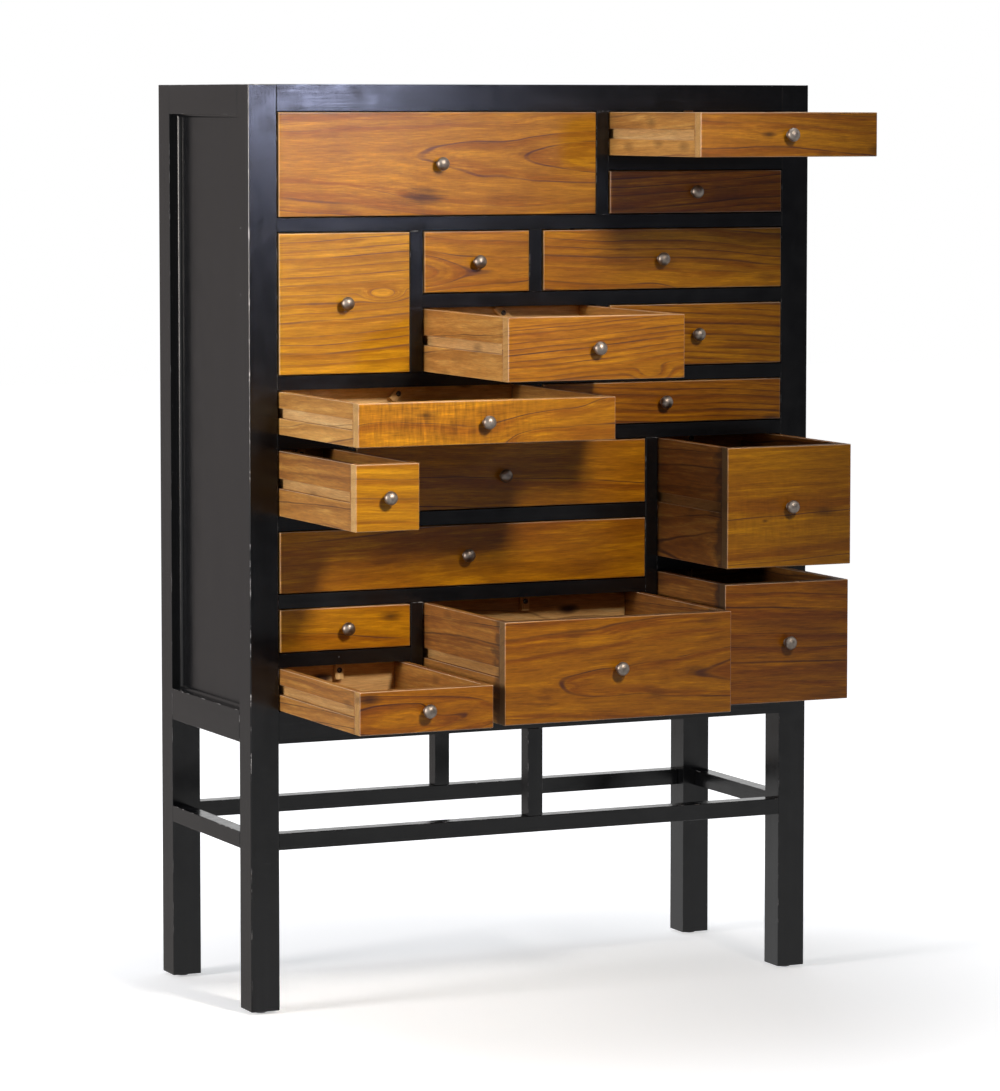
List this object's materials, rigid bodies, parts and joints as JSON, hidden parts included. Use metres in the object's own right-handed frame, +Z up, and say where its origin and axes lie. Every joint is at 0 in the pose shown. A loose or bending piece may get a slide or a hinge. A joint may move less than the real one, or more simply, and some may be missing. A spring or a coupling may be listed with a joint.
{
  "type": "semainier",
  "caption": "Tall chest of many small drawers on long square legs joined by stretchers, with side-hung drawers, round metal knobs, black lacquer case and stained wood fronts.",
  "frame": {"origin": "on the floor, at the centre of the four feet; eight drawers stand open towards -Y, so it isn't the middle of the bounding box", "axes": "+Z up, +X to the right of someone facing the drawers' fronts, +Y towards the back; drawers open along -Y"},
  "size_m": [0.9, 0.6702, 1.334],
  "materials": {
    "black_lacquered_wood": "black lacquer, semi-gloss",
    "stained_wood": "honey stain, satin varnish",
    "satin_nickel": "satin",
    "glide_plastic": "matte"
  },
  "bodies": {
    "case": {"back_panel": "black_lacquered_wood", "back_rails": "black_lacquered_wood", "bottom_panel": "black_lacquered_wood", "centre_posts": "black_lacquered_wood", "drawer_mullions": "black_lacquered_wood", "drawer_rails": "black_lacquered_wood", "drawer_runners": "black_lacquered_wood", "dust_panels": "black_lacquered_wood", "floor_glides": "glide_plastic", "front_rails": "black_lacquered_wood", "leg_back_left": "black_lacquered_wood", "leg_back_right": "black_lacquered_wood", "leg_front_left": "black_lacquered_wood", "leg_front_right": "black_lacquered_wood", "partitions": "black_lacquered_wood", "side_panel_beads": "black_lacquered_wood", "side_panel_left": "black_lacquered_wood", "side_panel_right": "black_lacquered_wood", "side_rails_left": "black_lacquered_wood", "side_rails_right": "black_lacquered_wood", "stretchers": "black_lacquered_wood", "top_panel": "black_lacquered_wood"},
    "drawer_01": {"drawer_01_box": "stained_wood", "drawer_01_knob": "satin_nickel"},
    "drawer_02": {"drawer_02_box": "stained_wood", "drawer_02_knob": "satin_nickel"},
    "drawer_03": {"drawer_03_box": "stained_wood", "drawer_03_knob": "satin_nickel"},
    "drawer_04": {"drawer_04_box": "stained_wood", "drawer_04_knob": "satin_nickel"},
    "drawer_05": {"drawer_05_box": "stained_wood", "drawer_05_knob": "satin_nickel"},
    "drawer_06": {"drawer_06_box": "stained_wood", "drawer_06_knob": "satin_nickel"},
    "drawer_07": {"drawer_07_box": "stained_wood", "drawer_07_knob": "satin_nickel"},
    "drawer_07_button": {"drawer_07_stop": "stained_wood"},
    "drawer_08": {"drawer_08_box": "stained_wood", "drawer_08_knob": "satin_nickel"},
    "drawer_09": {"drawer_09_box": "stained_wood", "drawer_09_knob": "satin_nickel"},
    "drawer_10": {"drawer_10_box": "stained_wood", "drawer_10_knob": "satin_nickel"},
    "drawer_10_button": {"drawer_10_stop": "stained_wood"},
    "drawer_11": {"drawer_11_box": "stained_wood", "drawer_11_knob": "satin_nickel"},
    "drawer_12": {"drawer_12_box": "stained_wood", "drawer_12_knob": "satin_nickel"},
    "drawer_13": {"drawer_13_box": "stained_wood", "drawer_13_knob": "satin_nickel"},
    "drawer_14": {"drawer_14_box": "stained_wood", "drawer_14_knob": "satin_nickel"},
    "drawer_15": {"drawer_15_box": "stained_wood", "drawer_15_knob": "satin_nickel"},
    "drawer_16": {"drawer_16_box": "stained_wood", "drawer_16_knob": "satin_nickel"},
    "drawer_17": {"drawer_17_box": "stained_wood", "drawer_17_knob": "satin_nickel"},
    "drawer_18": {"drawer_18_box": "stained_wood", "drawer_18_knob": "satin_nickel"}
  },
  "joints": [
    {"name": "drawer_01_slide", "type": "slide", "parent": "case", "child": "drawer_01", "axis": [0, -1, 0], "range_m": [0, 0.2902]},
    {"name": "drawer_02_slide", "type": "slide", "parent": "case", "child": "drawer_02", "axis": [0, -1, 0], "range_m": [-0.2892, 0.001]},
    {"name": "drawer_03_slide", "type": "slide", "parent": "case", "child": "drawer_03", "axis": [0, -1, 0], "range_m": [0, 0.2902]},
    {"name": "drawer_04_slide", "type": "slide", "parent": "case", "child": "drawer_04", "axis": [0, -1, 0], "range_m": [0, 0.2902]},
    {"name": "drawer_05_slide", "type": "slide", "parent": "case", "child": "drawer_05", "axis": [0, -1, 0], "range_m": [0, 0.2902]},
    {"name": "drawer_06_slide", "type": "slide", "parent": "case", "child": "drawer_06", "axis": [0, -1, 0], "range_m": [0, 0.2902]},
    {"name": "drawer_07_slide", "type": "slide", "parent": "case", "child": "drawer_07", "axis": [0, -1, 0], "range_m": [-0.2872, 0.003]},
    {"name": "drawer_07_stop_turn", "type": "hinge", "parent": "drawer_07", "child": "drawer_07_button", "pos_m": [-0.041, -0.1525, 1.00175], "axis": [0, 1, 0], "continuous": true},
    {"name": "drawer_08_slide", "type": "slide", "parent": "case", "child": "drawer_08", "axis": [0, -1, 0], "range_m": [0, 0.2902]},
    {"name": "drawer_09_slide", "type": "slide", "parent": "case", "child": "drawer_09", "axis": [0, -1, 0], "range_m": [0, 0.2902]},
    {"name": "drawer_10_slide", "type": "slide", "parent": "case", "child": "drawer_10", "axis": [0, -1, 0], "range_m": [-0.2862, 0.004]},
    {"name": "drawer_10_stop_turn", "type": "hinge", "parent": "drawer_10", "child": "drawer_10_button", "pos_m": [-0.208, -0.1515, 0.88795], "axis": [0, 1, 0], "continuous": true},
    {"name": "drawer_11_slide", "type": "slide", "parent": "case", "child": "drawer_11", "axis": [0, -1, 0], "range_m": [-0.2772, 0.013]},
    {"name": "drawer_12_slide", "type": "slide", "parent": "case", "child": "drawer_12", "axis": [0, -1, 0], "range_m": [0, 0.2902]},
    {"name": "drawer_13_slide", "type": "slide", "parent": "case", "child": "drawer_13", "axis": [0, -1, 0], "range_m": [-0.2182, 0.072]},
    {"name": "drawer_14_slide", "type": "slide", "parent": "case", "child": "drawer_14", "axis": [0, -1, 0], "range_m": [0, 0.2902]},
    {"name": "drawer_15_slide", "type": "slide", "parent": "case", "child": "drawer_15", "axis": [0, -1, 0], "range_m": [-0.2122, 0.078]},
    {"name": "drawer_16_slide", "type": "slide", "parent": "case", "child": "drawer_16", "axis": [0, -1, 0], "range_m": [0, 0.2902]},
    {"name": "drawer_17_slide", "type": "slide", "parent": "case", "child": "drawer_17", "axis": [0, -1, 0], "range_m": [-0.2762, 0.014]},
    {"name": "drawer_18_slide", "type": "slide", "parent": "case", "child": "drawer_18", "axis": [0, -1, 0], "range_m": [-0.2892, 0.001]}
  ]
}
